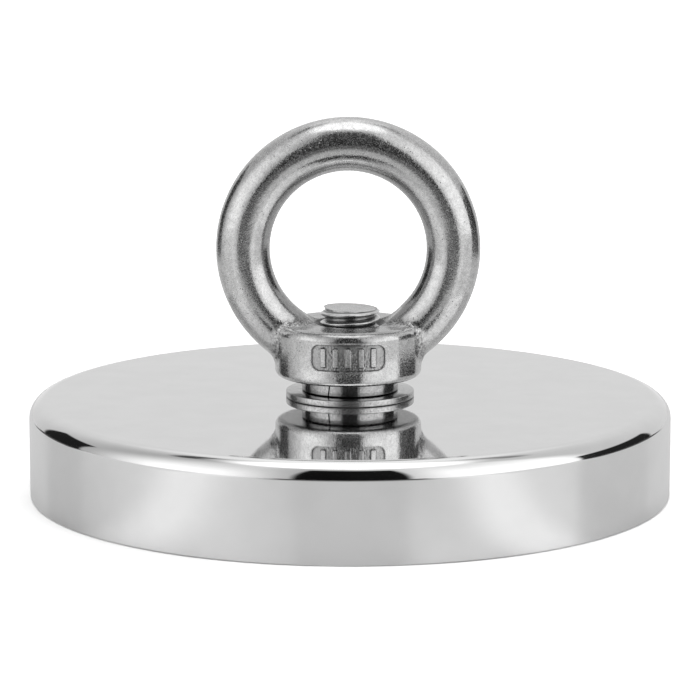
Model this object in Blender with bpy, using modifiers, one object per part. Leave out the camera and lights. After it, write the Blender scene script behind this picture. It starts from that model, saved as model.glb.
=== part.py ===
"""Magnet fishing magnet, 120 mm across: a steel pot with a potted ring of magnets under it,
and a countersunk screw that holds washers and an eye nut on top.

Metres, +Z up. The origin is the centre of the pot's underside, on the screw's axis.
The eye ring stands in the XZ plane, so a rope or hook passes through it along Y.
"""

from math import cos, pi, radians, sin, sqrt, tan

import bmesh
import bpy
from mathutils import Matrix, Vector

MM = 0.001

# Driving dimensions of the pot and what is potted in it
POT_RADIUS = 60 * MM
POT_HEIGHT = 18 * MM
POT_WALL = 7 * MM
POT_FLOOR = 7 * MM
POT_EDGE_RADIUS = 3.25 * MM
POT_BOTTOM_CHAMFER = 0.4 * MM
SCREW_HOLE_RADIUS = 6.75 * MM
MAGNET_COUNT = 8
MAGNET_INNER_RADIUS = 19 * MM
MAGNET_OUTER_RADIUS = 49 * MM
MAGNET_EDGE = 0.4 * MM
MAGNET_SIDE_GAP = 0.6 * MM
FACE_RECESS = 0.3 * MM
RESIN_RECESS = 0.6 * MM
BOND_THICKNESS = 0.4 * MM
BUSH_RADIUS = 14.7 * MM

# The M12 x 35 countersunk screw, with an 8 mm hexagon socket. The tolerance on 35 mm is 1.25 mm.
THREAD_PITCH = 1.75 * MM
THREAD_CREST_RADIUS = 5.6 * MM
THREAD_ROOT_RADIUS = 4.7 * MM
THREAD_CREST_WIDTH = 0.25 * MM
THREAD_FLANK = radians(30)
THREAD_CREST_HEIGHT = 34.57 * MM
SCREW_LENGTH = 34.7 * MM
SCREW_BOTTOM = 0.2 * MM
SCREW_TIP_RADIUS = 5.15 * MM
HEAD_RADIUS = 12 * MM
HEAD_LAND = 0.5 * MM
SHANK_RADIUS = 5.7 * MM
PLAIN_SHANK = 2.2 * MM
SOCKET_ACROSS_FLATS = 8 * MM
SOCKET_DEPTH = 4.8 * MM

# Washers and eye nut
WASHER_RADIUS = 12 * MM
WASHER_THICKNESS = 1.0 * MM
WASHER_HOLE_RADIUS = 6.5 * MM
LOCK_RADIUS = 9 * MM
LOCK_HOLE_RADIUS = 6.2 * MM
LOCK_THICKNESS = 2.15 * MM
LOCK_SPLIT = 0.5 * MM
LOCK_SPLIT_LEAN = radians(8)
LOCK_SPLIT_BEARING = radians(-115)
NUT_RADIUS = 13.7 * MM
NUT_BOTTOM = 22.05 * MM
NUT_HEIGHT = 9.95 * MM
NUT_TOP_EDGE = 1.6 * MM
NUT_BOTTOM_EDGE = 1.3 * MM
RING_RADIUS = 19.6 * MM
RING_TUBE_RADIUS = 5 * MM
RING_HEIGHT = 45.9 * MM
THREAD_CLEARANCE = 0.25 * MM
THREAD_DEPTH_CLEARANCE = 0.45 * MM
PAD_WIDTH = 14.5 * MM
PAD_HEIGHT = 5 * MM
PAD_MIDDLE = 27.5 * MM
PAD_CORNER = 1.7 * MM
PAD_DEPTH = 0.5 * MM
PAD_RIBS = 5
PAD_RIB_WIDTH = 0.9 * MM
PAD_RIB_LENGTH = 3.2 * MM
PAD_RIB_DEPTH = 0.12 * MM

# Shared by all parts
GAP = 0.3 * MM
MERGE = 0.000001
TURN_STEPS = 72
SMALL_TURN_STEPS = 48
THREAD_STEPS = 20
ARC_STEPS = 5
OVERSHOOT = 2 * MM
SHARP_ANGLE = radians(35)

PARTS = bpy.data.collections.new("magnet_fishing_magnet")
CUTTERS = bpy.data.collections.new("cutters")


def clear_scene():
    """Empty the file that the script starts in."""
    for old in list(bpy.data.objects):
        bpy.data.objects.remove(old, do_unlink=True)
    for group in (PARTS, CUTTERS):
        bpy.context.scene.collection.children.link(group)


def make_material(name, colour, roughness, metallic):
    """A Principled material."""
    material = bpy.data.materials.new(name)
    material.use_nodes = True
    shader = material.node_tree.nodes["Principled BSDF"]
    shader.inputs["Base Color"].default_value = (*colour, 1.0)
    shader.inputs["Roughness"].default_value = roughness
    shader.inputs["Metallic"].default_value = metallic
    return material


def make_empty(name, height):
    """A parent on the Z axis, where a body's joint lies."""
    empty = bpy.data.objects.new(name, None)
    empty.location.z = height
    PARTS.objects.link(empty)
    return empty


def make_object(name, mesh, group):
    """Put a mesh in a collection as an object. Cutters stay out of the model."""
    item = bpy.data.objects.new(name, mesh)
    group.objects.link(item)
    if group is CUTTERS:
        item.hide_render = True
        item.display_type = "WIRE"
    return item


def finish(item, material, parent, height):
    """Give a part its material and its place, and shade its round faces smooth."""
    item.data.materials.append(material)
    item.parent = parent
    item.location.z = height - parent.location.z
    item.data.shade_smooth()
    item.data.set_sharp_from_angle(angle=SHARP_ANGLE)
    return item


def arc(centre_x, centre_z, radius, start, end, steps=ARC_STEPS):
    """Points along an arc in the XZ plane, angles in degrees from +X."""
    angles = [radians(start + (end - start) * i / steps) for i in range(steps + 1)]
    return [(centre_x + radius * cos(a), centre_z + radius * sin(a)) for a in angles]


def ring_profile(inner, outer, bottom, top, edge):
    """A rectangle with small chamfers, starting at the top and running down its outer side."""
    return [
        (inner + edge, top),
        (outer - edge, top),
        (outer, top - edge),
        (outer, bottom + edge),
        (outer - edge, bottom),
        (inner + edge, bottom),
        (inner, bottom + edge),
        (inner, top - edge),
    ]


def profile_mesh(name, points, closed):
    """The outline of a turned shape, as edges in the XZ plane."""
    mesh = bpy.data.meshes.new(name)
    last = len(points) if closed else len(points) - 1
    edges = [(i, (i + 1) % len(points)) for i in range(last)]
    mesh.from_pydata([(x, 0.0, z) for x, z in points], edges, [])
    return mesh


def add_screw(item, steps, offset=0.0, turns=1):
    """Sweep a profile round Z."""
    sweep = item.modifiers.new("turn", "SCREW")
    sweep.axis = "Z"
    sweep.steps = steps
    sweep.render_steps = steps
    sweep.screw_offset = offset
    sweep.iterations = turns
    sweep.use_merge_vertices = offset == 0.0
    sweep.merge_threshold = MERGE
    sweep.use_smooth_shade = True
    return item


def turned(name, points, closed=True, steps=TURN_STEPS, group=PARTS):
    """A turned solid: a closed profile makes a ring, an open one starts and ends on the axis."""
    item = make_object(name, profile_mesh(name, points, closed), group)
    return add_screw(item, steps)


def evaluated_mesh(item):
    """An object's mesh with its modifiers applied. The object is removed."""
    graph = bpy.context.evaluated_depsgraph_get()
    graph.update()
    mesh = bpy.data.meshes.new_from_object(item.evaluated_get(graph))
    bpy.data.objects.remove(item, do_unlink=True)
    return mesh


def boolean(item, operation, cutter):
    """Join, cut or keep part of an object with another."""
    change = item.modifiers.new(f"{operation.lower()}_{cutter.name}", "BOOLEAN")
    change.operation = operation
    change.object = cutter
    change.solver = "EXACT"
    return item


def close_end(mesh_edit, edges, height):
    """Close an open thread end with a fan of faces to a point on the axis."""
    fan = bmesh.ops.extrude_edge_only(mesh_edit, edges=edges)
    tips = [part for part in fan["geom"] if isinstance(part, bmesh.types.BMVert)]
    bmesh.ops.pointmerge(mesh_edit, verts=tips, merge_co=(0.0, 0.0, height))


def threaded_bar(name, root, crest, crest_width, crest_height, bottom, top, group):
    """A closed bar with a right-hand thread. At +X one crest is centred on crest_height."""
    flank = (crest - root) * tan(THREAD_FLANK)
    root_width = THREAD_PITCH - crest_width - 2 * flank
    turns_down = int((crest_height - bottom) / THREAD_PITCH) + 2
    turns_up = int((top - crest_height) / THREAD_PITCH) + 2
    start = crest_height - THREAD_PITCH * (turns_down + 0.5)
    points = [
        (root, start + THREAD_PITCH),
        (root, start + THREAD_PITCH - root_width / 2),
        (crest, start + THREAD_PITCH - root_width / 2 - flank),
        (crest, start + root_width / 2 + flank),
        (root, start + root_width / 2),
        (root, start),
    ]
    turns = turns_down + turns_up
    sweep = make_object(name, profile_mesh(name, points, False), group)
    mesh = evaluated_mesh(add_screw(sweep, THREAD_STEPS, THREAD_PITCH, turns))
    edit = bmesh.new()
    edit.from_mesh(mesh)
    bmesh.ops.remove_doubles(edit, verts=edit.verts, dist=MERGE)
    middle = start + THREAD_PITCH * (turns + 1) / 2
    ends = [edge for edge in edit.edges if edge.is_boundary]
    lower = [edge for edge in ends if edge.verts[0].co.z < middle]
    upper = [edge for edge in ends if edge.verts[0].co.z > middle]
    close_end(edit, lower, start + THREAD_PITCH / 2)
    close_end(edit, upper, start + THREAD_PITCH * (turns + 0.5))
    bmesh.ops.recalc_face_normals(edit, faces=edit.faces)
    edit.to_mesh(mesh)
    edit.free()
    return make_object(name, mesh, group)


def block(name, size, place, group, bevel=0.0):
    """A box with its edges along Y rounded."""
    edit = bmesh.new()
    bmesh.ops.create_cube(edit, size=1.0, matrix=Matrix.Diagonal((*size, 1.0)))
    if bevel:
        along_y = [e for e in edit.edges if abs(e.verts[0].co.y - e.verts[1].co.y) > MERGE]
        bmesh.ops.bevel(
            edit,
            geom=along_y,
            offset=bevel,
            segments=ARC_STEPS,
            profile=0.5,
            affect="EDGES",
        )
    mesh = bpy.data.meshes.new(name)
    edit.to_mesh(mesh)
    edit.free()
    item = make_object(name, mesh, group)
    item.location = place
    return item


def cylinder(name, radius, depth, place, group, sides=SMALL_TURN_STEPS):
    """A plain cylinder along Z."""
    edit = bmesh.new()
    bmesh.ops.create_cone(
        edit,
        cap_ends=True,
        segments=sides,
        radius1=radius,
        radius2=radius,
        depth=depth,
    )
    mesh = bpy.data.meshes.new(name)
    edit.to_mesh(mesh)
    edit.free()
    item = make_object(name, mesh, group)
    item.location = place
    return item


def build_pot(material, parent):
    """The turned steel pot: a thick wall and floor, open below, with a hole for the screw."""
    cavity_radius = POT_RADIUS - POT_WALL
    cavity_top = POT_HEIGHT - POT_FLOOR
    edge_x = POT_RADIUS - POT_EDGE_RADIUS
    edge_z = POT_HEIGHT - POT_EDGE_RADIUS
    points = [
        (SCREW_HOLE_RADIUS, POT_HEIGHT),
        *arc(edge_x, edge_z, POT_EDGE_RADIUS, 90, 0),
        (POT_RADIUS, POT_BOTTOM_CHAMFER),
        (POT_RADIUS - POT_BOTTOM_CHAMFER, 0.0),
        (cavity_radius + POT_BOTTOM_CHAMFER, 0.0),
        (cavity_radius, POT_BOTTOM_CHAMFER),
        (cavity_radius, cavity_top),
        (SCREW_HOLE_RADIUS, cavity_top),
    ]
    finish(turned("steel_pot", points), material, parent, 0.0)


def build_magnets(material, parent):
    """The magnet ring: equal arc segments with a thin bond line between them."""
    bond_bottom = POT_HEIGHT - POT_FLOOR - GAP - BOND_THICKNESS
    thickness = bond_bottom - GAP - FACE_RECESS
    pitch_angle = 2 * pi / MAGNET_COUNT
    steps = TURN_STEPS // MAGNET_COUNT
    middle_radius = (MAGNET_INNER_RADIUS + MAGNET_OUTER_RADIUS) / 2
    sweep = pitch_angle - MAGNET_SIDE_GAP / middle_radius
    corners = [
        (MAGNET_INNER_RADIUS, 0.0),
        (MAGNET_OUTER_RADIUS, 0.0),
        (MAGNET_OUTER_RADIUS, thickness),
        (MAGNET_INNER_RADIUS, thickness),
    ]
    for number in range(MAGNET_COUNT):
        start = Matrix.Rotation(number * pitch_angle - sweep / 2, 3, "Z")
        edit = bmesh.new()
        face = edit.faces.new([edit.verts.new(start @ Vector((x, 0.0, z))) for x, z in corners])
        bmesh.ops.spin(
            edit,
            geom=[face, *face.edges, *face.verts],
            cent=(0.0, 0.0, 0.0),
            axis=(0.0, 0.0, 1.0),
            angle=sweep,
            steps=steps,
        )
        bmesh.ops.recalc_face_normals(edit, faces=edit.faces)
        name = f"magnet_segment_{number + 1}"
        mesh = bpy.data.meshes.new(name)
        edit.to_mesh(mesh)
        edit.free()
        item = make_object(name, mesh, PARTS)
        rounding = item.modifiers.new("edges", "BEVEL")
        rounding.width = MAGNET_EDGE
        rounding.segments = 1
        rounding.limit_method = "ANGLE"
        rounding.angle_limit = SHARP_ANGLE
        finish(item, material, parent, FACE_RECESS)


def build_resin(material, parent):
    """The bond under the magnets, and the potting rings outside and inside them."""
    pot_inside = POT_RADIUS - POT_WALL - GAP
    bond_top = POT_HEIGHT - POT_FLOOR - GAP
    bond_bottom = bond_top - BOND_THICKNESS
    ring_top = bond_bottom - GAP
    bush_side = BUSH_RADIUS + GAP
    rings = {
        "resin_bond_layer": (bush_side, pot_inside, bond_bottom, bond_top),
        "resin_outer_ring": (MAGNET_OUTER_RADIUS + GAP, pot_inside, RESIN_RECESS, ring_top),
        "resin_inner_ring": (bush_side, MAGNET_INNER_RADIUS - GAP, RESIN_RECESS, ring_top),
    }
    for name, (inner, outer, bottom, top) in rings.items():
        points = [(inner, top), (outer, top), (outer, bottom), (inner, bottom)]
        finish(turned(name, points), material, parent, 0.0)


def build_bush(material, parent):
    """The turned centre bush, whose cone seats the screw's head."""
    top = POT_HEIGHT - POT_FLOOR - GAP
    seat_radius = HEAD_RADIUS + GAP * sqrt(2)
    land_top = SCREW_BOTTOM + HEAD_LAND
    throat_height = land_top + seat_radius - SCREW_HOLE_RADIUS
    points = [
        (SCREW_HOLE_RADIUS, top),
        (BUSH_RADIUS, top),
        (BUSH_RADIUS, FACE_RECESS),
        (seat_radius, FACE_RECESS),
        (seat_radius, land_top),
        (SCREW_HOLE_RADIUS, throat_height),
    ]
    finish(turned("centre_bush", points, steps=SMALL_TURN_STEPS), material, parent, 0.0)


def build_screw(material, parent):
    """The countersunk screw: head down in the bush, threaded end up through the eye nut."""
    tip = SCREW_BOTTOM + SCREW_LENGTH
    land_top = SCREW_BOTTOM + HEAD_LAND
    cone_top = land_top + HEAD_RADIUS - SHANK_RADIUS
    shank_top = cone_top + PLAIN_SHANK
    chamfer = THREAD_CREST_RADIUS + OVERSHOOT - SCREW_TIP_RADIUS
    envelope = turned(
        "screw_envelope",
        [
            (0.0, tip),
            (SCREW_TIP_RADIUS, tip),
            (SCREW_TIP_RADIUS + chamfer, tip - chamfer),
            (SCREW_TIP_RADIUS + chamfer, shank_top - GAP),
            (0.0, shank_top - GAP),
        ],
        closed=False,
        steps=SMALL_TURN_STEPS,
        group=CUTTERS,
    )
    head = turned(
        "screw_head",
        [
            (0.0, shank_top),
            (THREAD_ROOT_RADIUS, shank_top),
            (SHANK_RADIUS, shank_top - THREAD_PITCH / 2),
            (SHANK_RADIUS, cone_top),
            (HEAD_RADIUS, land_top),
            (HEAD_RADIUS, SCREW_BOTTOM),
            (0.0, SCREW_BOTTOM),
        ],
        closed=False,
        steps=SMALL_TURN_STEPS,
        group=CUTTERS,
    )
    socket_radius = SOCKET_ACROSS_FLATS / 2 / cos(pi / 6)
    socket = cylinder(
        "hex_socket",
        socket_radius,
        2 * SOCKET_DEPTH,
        (0.0, 0.0, SCREW_BOTTOM),
        CUTTERS,
        sides=6,
    )
    screw = threaded_bar(
        "countersunk_screw",
        THREAD_ROOT_RADIUS,
        THREAD_CREST_RADIUS,
        THREAD_CREST_WIDTH,
        THREAD_CREST_HEIGHT,
        shank_top,
        tip,
        PARTS,
    )
    boolean(screw, "INTERSECT", envelope)
    boolean(screw, "UNION", head)
    boolean(screw, "DIFFERENCE", socket)
    finish(screw, material, parent, 0.0)


def build_washers(material, parent):
    """The plain washer and the split spring washer, flattened by the tightened eye nut."""
    washer_bottom = POT_HEIGHT + GAP
    washer_edge = WASHER_THICKNESS / 5
    points = ring_profile(WASHER_HOLE_RADIUS, WASHER_RADIUS, 0.0, WASHER_THICKNESS, washer_edge)
    washer = turned("flat_washer", points, steps=SMALL_TURN_STEPS)
    finish(washer, material, parent, washer_bottom)

    lock_bottom = washer_bottom + WASHER_THICKNESS + GAP
    points = ring_profile(LOCK_HOLE_RADIUS, LOCK_RADIUS, 0.0, LOCK_THICKNESS, washer_edge)
    lock = turned("lock_washer", points, steps=SMALL_TURN_STEPS)
    middle = (LOCK_RADIUS + LOCK_HOLE_RADIUS) / 2
    split = block(
        "lock_washer_split",
        (LOCK_RADIUS, LOCK_SPLIT, 3 * LOCK_THICKNESS),
        (
            middle * cos(LOCK_SPLIT_BEARING),
            middle * sin(LOCK_SPLIT_BEARING),
            lock_bottom + LOCK_THICKNESS / 2,
        ),
        CUTTERS,
    )
    split.rotation_euler = (LOCK_SPLIT_LEAN, 0.0, LOCK_SPLIT_BEARING)
    boolean(lock, "DIFFERENCE", split)
    finish(lock, material, parent, lock_bottom)


def build_pad_cutter():
    """The recess in the eye nut's front: a band round the nut, rounded at both ends, less its ribs."""
    centre_z = PAD_MIDDLE
    pad = block(
        "pad_recess",
        (PAD_WIDTH, NUT_RADIUS, PAD_HEIGHT),
        (0.0, -NUT_RADIUS, centre_z),
        CUTTERS,
        bevel=PAD_CORNER,
    )
    middle = (0.0, 0.0, centre_z)
    floor = cylinder("pad_floor", NUT_RADIUS - PAD_DEPTH, 2 * NUT_HEIGHT, middle, CUTTERS)
    rib_tops = cylinder("pad_rib_tops", NUT_RADIUS - PAD_RIB_DEPTH, 2 * NUT_HEIGHT, middle, CUTTERS)
    boolean(pad, "DIFFERENCE", floor)
    spacing = PAD_WIDTH / (PAD_RIBS + 1)
    for number in range(PAD_RIBS):
        place = (number - (PAD_RIBS - 1) / 2) * spacing
        rib = block(
            f"pad_rib_{number + 1}",
            (PAD_RIB_WIDTH, NUT_RADIUS, PAD_RIB_LENGTH),
            (place, -NUT_RADIUS, centre_z),
            CUTTERS,
        )
        boolean(rib, "INTERSECT", rib_tops)
        boolean(pad, "DIFFERENCE", rib)
    return pad


def build_eye_nut(material, parent):
    """The eye nut: a round threaded base with the lifting ring standing on it.

    The ring's lowest arc would stand out under the base, so it is cut off inside the base first."""
    top = NUT_BOTTOM + NUT_HEIGHT
    base = turned(
        "eye_nut",
        [
            (0.0, NUT_HEIGHT),
            *arc(NUT_RADIUS - NUT_TOP_EDGE, NUT_HEIGHT - NUT_TOP_EDGE, NUT_TOP_EDGE, 90, 0),
            *arc(NUT_RADIUS - NUT_BOTTOM_EDGE, NUT_BOTTOM_EDGE, NUT_BOTTOM_EDGE, 0, -90),
            (0.0, 0.0),
        ],
        closed=False,
        steps=SMALL_TURN_STEPS,
    )
    bpy.ops.mesh.primitive_torus_add(
        major_radius=RING_RADIUS,
        minor_radius=RING_TUBE_RADIUS,
        major_segments=SMALL_TURN_STEPS,
        minor_segments=16,
        location=(0.0, 0.0, RING_HEIGHT),
        rotation=(pi / 2, 0.0, 0.0),
    )
    ring = bpy.context.object
    ring.name = "eye_ring"
    for group in list(ring.users_collection):
        group.objects.unlink(ring)
    CUTTERS.objects.link(ring)
    ring.hide_render = True
    ring.display_type = "WIRE"
    foot_height = 2 * NUT_HEIGHT
    foot_top = NUT_BOTTOM + NUT_BOTTOM_EDGE / 2
    foot = block(
        "ring_foot",
        (2 * RING_RADIUS, 4 * RING_TUBE_RADIUS, foot_height),
        (0.0, 0.0, foot_top - foot_height / 2),
        CUTTERS,
    )
    boolean(ring, "DIFFERENCE", foot)

    nut_bore = THREAD_ROOT_RADIUS + THREAD_DEPTH_CLEARANCE
    nut_groove = THREAD_CREST_RADIUS + THREAD_DEPTH_CLEARANCE
    screw_width = THREAD_CREST_WIDTH + 2 * (THREAD_CREST_RADIUS - nut_bore) * tan(THREAD_FLANK)
    opening = screw_width + 2 * THREAD_CLEARANCE / cos(THREAD_FLANK)
    groove_width = opening - 2 * (nut_groove - nut_bore) * tan(THREAD_FLANK)
    thread = threaded_bar(
        "nut_thread",
        nut_bore,
        nut_groove,
        groove_width,
        THREAD_CREST_HEIGHT,
        NUT_BOTTOM - OVERSHOOT,
        top + 2 * OVERSHOOT,
        CUTTERS,
    )
    mouth = nut_groove + GAP
    throat = nut_bore - GAP
    countersink = [
        (0.0, top + mouth),
        (2 * mouth, top + mouth),
        (throat, top + throat - mouth),
        (0.0, top + throat - mouth),
    ]
    funnel = turned("nut_mouth", countersink, closed=False, steps=SMALL_TURN_STEPS, group=CUTTERS)
    boolean(base, "UNION", ring)
    boolean(base, "DIFFERENCE", thread)
    boolean(base, "DIFFERENCE", funnel)
    boolean(base, "DIFFERENCE", build_pad_cutter())
    finish(base, material, parent, NUT_BOTTOM)


def main():
    """Build every part."""
    clear_scene()
    nickel = make_material("nickel_plate", (0.80, 0.80, 0.80), 0.06, 1.0)
    magnet_nickel = make_material("magnet_nickel", (0.62, 0.62, 0.62), 0.25, 1.0)
    screw_steel = make_material("screw_steel", (0.56, 0.56, 0.56), 0.25, 1.0)
    cast_stainless = make_material("cast_stainless", (0.52, 0.51, 0.50), 0.28, 1.0)
    washer_steel = make_material("washer_steel", (0.60, 0.60, 0.60), 0.20, 1.0)
    resin = make_material("potting_resin", (0.03, 0.03, 0.03), 0.35, 0.0)
    aluminium = make_material("bush_aluminium", (0.68, 0.68, 0.69), 0.30, 1.0)
    magnet_body = make_empty("magnet_body_origin", 0.0)
    screw_axis = make_empty("screw_axis", SCREW_BOTTOM)
    nut_axis = make_empty("eye_nut_axis", NUT_BOTTOM)
    build_pot(nickel, magnet_body)
    build_magnets(magnet_nickel, magnet_body)
    build_resin(resin, magnet_body)
    build_bush(aluminium, magnet_body)
    build_washers(washer_steel, magnet_body)
    build_screw(screw_steel, screw_axis)
    build_eye_nut(cast_stainless, nut_axis)


main()
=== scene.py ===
"""Looks for the magnet fishing magnet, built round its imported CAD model.

Every visible piece is modelled again at a finer grain on its own CAD node: the turned pot, the magnets,
resin and bush under it, the countersunk screw with its real helical thread, both washers, and the cast eye
nut. Meshes are worked out in millimetres and scaled to metres when they become objects. +Z is up and -Y is
the front.
"""

from math import cos, degrees, pi, radians, sin, sqrt, tan

import bmesh
import bpy
import numpy as np
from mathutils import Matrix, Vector, noise


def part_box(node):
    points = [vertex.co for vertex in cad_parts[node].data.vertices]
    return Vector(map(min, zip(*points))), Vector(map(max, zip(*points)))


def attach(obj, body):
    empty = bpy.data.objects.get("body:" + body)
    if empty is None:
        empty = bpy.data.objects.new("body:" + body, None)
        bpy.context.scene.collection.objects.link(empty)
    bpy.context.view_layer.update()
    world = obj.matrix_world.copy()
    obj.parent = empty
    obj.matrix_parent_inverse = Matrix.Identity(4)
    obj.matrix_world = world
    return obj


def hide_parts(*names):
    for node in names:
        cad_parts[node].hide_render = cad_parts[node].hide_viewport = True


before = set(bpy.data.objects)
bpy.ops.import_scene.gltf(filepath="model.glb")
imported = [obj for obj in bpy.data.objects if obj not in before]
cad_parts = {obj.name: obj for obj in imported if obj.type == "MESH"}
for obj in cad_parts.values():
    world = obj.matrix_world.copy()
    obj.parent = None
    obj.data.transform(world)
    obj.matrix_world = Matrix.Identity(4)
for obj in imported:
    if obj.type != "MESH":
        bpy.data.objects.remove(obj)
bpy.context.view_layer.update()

MM = 0.001


def box_mm(node):
    """Lowest and highest corner of a CAD node, in millimetres."""
    low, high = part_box(node)
    return np.array(low) / MM, np.array(high) / MM


# Sizes read from the frame
POT_HIGH = box_mm("steel_pot")[1]
POT_RADIUS = POT_HIGH[0]
POT_HEIGHT = POT_HIGH[2]
SCREW_LOW, SCREW_HIGH = box_mm("countersunk_screw")
HEAD_RADIUS = SCREW_HIGH[0]
SCREW_BOTTOM = SCREW_LOW[2]
SCREW_TIP = SCREW_HIGH[2]
PLAIN_HIGH = box_mm("flat_washer")[1]
WASHER_RADIUS = PLAIN_HIGH[0]
LOCK_HIGH = box_mm("lock_washer")[1]
LOCK_RADIUS = LOCK_HIGH[0]
NUT_LOW, NUT_HIGH = box_mm("eye_nut")
NUT_RADIUS = NUT_HIGH[1]
NUT_BOTTOM = NUT_LOW[2]
RING_OUTER = NUT_HIGH[0]
RING_HEIGHT = NUT_HIGH[2] - RING_OUTER
BUSH_LOW, BUSH_HIGH = box_mm("centre_bush")
BUSH_RADIUS = BUSH_HIGH[0]
RESIN_LOW, RESIN_HIGH = box_mm("resin_outer_ring")
CAVITY_RADIUS = RESIN_HIGH[0]

# Sizes of the finer shapes, in millimetres
CONTACT = 0.02
POT_EDGE = 3.25
POT_BOTTOM_EDGE = 0.4
POT_FLOOR = 7.0
SCREW_HOLE = 6.75
WASHER_HOLE = 6.5
WASHER_EDGE = 0.22
LOCK_HOLE = 6.2
LOCK_EDGE = 0.32
LOCK_SPLIT = 0.26
LOCK_SPLIT_LEAN = radians(8)
LOCK_SPLIT_BEARING = radians(-115.5)
WASHER_TOP = PLAIN_HIGH[2] - 0.05
NUT_HEIGHT = 9.95
NUT_TOP_EDGE = 1.6
NUT_BOTTOM_EDGE = 1.3
NUT_TOP = NUT_BOTTOM + NUT_HEIGHT
NUT_MOUTH = 6.85
RING_TUBE = 5.0
RING_RADIUS = RING_OUTER - RING_TUBE
PAD_WIDTH = 14.5
PAD_HEIGHT = 5.0
PAD_CORNER = 1.7
PAD_DEPTH = 0.42
PAD_WALL = 0.22
PAD_RIBS = 5
PAD_RIB_WIDTH = 1.1
PAD_RIB_LENGTH = 3.6
PAD_RIB_DROP = 0.08
PAD_MIDDLE = 27.5
THREAD_PITCH = 1.75
THREAD_CREST = 5.6
THREAD_ROOT = 4.7
THREAD_CREST_WIDTH = 0.25
THREAD_CREST_HEIGHT = 34.57
THREAD_FLANK = radians(30)
SCREW_TIP_RADIUS = 5.15
SHANK_RADIUS = 5.7
SHANK_LENGTH = 2.2
HEAD_LAND = 0.5
SHANK_TOP = SCREW_BOTTOM + HEAD_LAND + HEAD_RADIUS - SHANK_RADIUS + SHANK_LENGTH
SOCKET_ACROSS_FLATS = 8.0
SOCKET_DEPTH = 4.8

# The casting stands a little left of the stud's axis, and the screw's end is sawn a little out of square
CAST_SHIFT = -0.33
SAW_TILT = radians(2.0)

# ---------------------------------------------------------------- mesh tools


def arc(centre_r, centre_z, radius, start, end, steps):
    """Points along an arc in the (radius, height) plane, angles in degrees from outwards."""
    angles = np.radians(np.linspace(start, end, steps + 1))
    return [(centre_r + radius * cos(a), centre_z + radius * sin(a)) for a in angles]


def lathe(rows, segments, closed):
    """Points and faces of a turned surface, outside out when the rows run down its outer side.

    A row is (radius, height), each one number or one value per segment. A row of radius 0 is one point."""
    angles = np.arange(segments) * 2 * pi / segments
    points, rings = [], []
    count = 0
    for radius, height in rows:
        if np.isscalar(radius) and radius == 0.0:
            points.append(np.array([[0.0, 0.0, height]]))
            rings.append(np.array([count]))
            count += 1
            continue
        ring = np.stack([radius * np.cos(angles), radius * np.sin(angles), height + 0 * angles], 1)
        points.append(ring)
        rings.append(np.arange(count, count + segments))
        count += segments
    pairs = list(zip(rings, rings[1:]))
    if closed:
        pairs.append((rings[-1], rings[0]))
    faces = []
    for upper, lower in pairs:
        if len(upper) == 1:
            faces += [(upper[0], a, b) for a, b in zip(lower, np.roll(lower, -1))]
        elif len(lower) == 1:
            faces += [(a, lower[0], b) for a, b in zip(upper, np.roll(upper, -1))]
        else:
            faces += list(zip(upper, lower, np.roll(lower, -1), np.roll(upper, -1)))
    return np.concatenate(points), faces


def sweep(section, start, end, steps):
    """Points and faces of a (radius, height) outline swept round the axis, with flat ends.

    start and end are angles, each one number or one value per point of the outline."""
    radius, height = np.array(section).T
    corners = len(section)
    points = []
    for share in np.linspace(0.0, 1.0, steps + 1):
        angle = start + (end - start) * share
        points.append(np.stack([radius * np.cos(angle), radius * np.sin(angle), height], 1))
    faces = [tuple(range(corners)), tuple(reversed(range(steps * corners, (steps + 1) * corners)))]
    for i in range(steps):
        here, there = i * corners, (i + 1) * corners
        for j in range(corners):
            k = (j + 1) % corners
            faces.append((here + j, here + k, there + k, there + j))
    return np.concatenate(points), faces


def face_outwards(mesh):
    """Turn every face of a closed mesh to point outwards."""
    edit = bmesh.new()
    edit.from_mesh(mesh)
    bmesh.ops.recalc_face_normals(edit, faces=edit.faces)
    edit.to_mesh(mesh)
    edit.free()
    return mesh


def make_mesh(name, points, faces):
    """A mesh in metres from points in millimetres."""
    mesh = bpy.data.meshes.new(name)
    mesh.from_pydata((np.asarray(points) * MM).tolist(), [], [tuple(int(i) for i in f) for f in faces])
    mesh.validate()
    return mesh


def make_object(name, mesh):
    """An object in the scene."""
    item = bpy.data.objects.new(name, mesh)
    bpy.context.scene.collection.objects.link(item)
    return item


def dress(item, body, material, slot, *nodes, sharp=35):
    """Shade a piece, give it its material, and put it on its body in place of its CAD nodes."""
    item.data.shade_smooth()
    item.data.set_sharp_from_angle(angle=radians(sharp))
    item.data.materials.clear()
    item.data.materials.append(material)
    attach(item, body)
    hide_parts(*nodes)
    return item


def applied(item):
    """Replace an object's mesh with its evaluated one and drop its modifiers."""
    graph = bpy.context.evaluated_depsgraph_get()
    mesh = bpy.data.meshes.new_from_object(item.evaluated_get(graph))
    item.modifiers.clear()
    item.data = mesh
    return item


def carve(item, operation, cutter, solver="MANIFOLD"):
    """Boolean one object with another and remove the other."""
    change = item.modifiers.new("carve", "BOOLEAN")
    change.operation = operation
    change.object = cutter
    change.solver = solver
    applied(item)
    bpy.data.objects.remove(cutter, do_unlink=True)
    return item


def points_of(mesh):
    """A mesh's points in millimetres."""
    flat = np.zeros(len(mesh.vertices) * 3)
    mesh.vertices.foreach_get("co", flat)
    return flat.reshape(-1, 3) / MM


def move_points(mesh, points):
    """Put a mesh's points where they are given, in millimetres."""
    mesh.vertices.foreach_set("co", (points * MM).ravel())
    mesh.update()


def wander(points, size, seed):
    """Smooth noise between about -1 and 1 at each point, with lumps of the given size."""
    shift = Vector((seed * 17.3, seed * 5.1, seed * 11.7))
    return np.array([noise.noise(Vector(p) / size + shift) for p in points])


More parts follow.
